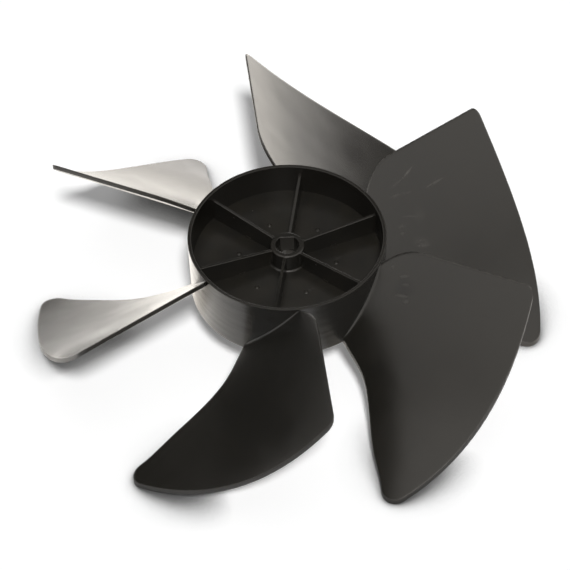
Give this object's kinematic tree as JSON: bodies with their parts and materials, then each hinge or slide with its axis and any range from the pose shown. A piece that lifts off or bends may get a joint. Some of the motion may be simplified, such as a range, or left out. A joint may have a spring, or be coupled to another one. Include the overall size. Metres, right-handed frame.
{
  "type": "condenser fan blade",
  "caption": "Axial cooling fan moulded in one piece, with wide twisted blades around an open ribbed hub cup and a D-shaped shaft bore.",
  "frame": {"origin": "on the shaft axis, at the lower mouth of the bore in the boss's motor-side face", "axes": "+Z along the shaft axis, out of the hub cup's open side; +Y towards the bore's flat"},
  "size_m": [0.1716, 0.1702, 0.0505],
  "materials": {
    "black_plastic": "satin"
  },
  "bodies": {
    "root": {"fan_rotor": "black_plastic"}
  },
  "joints": []
}
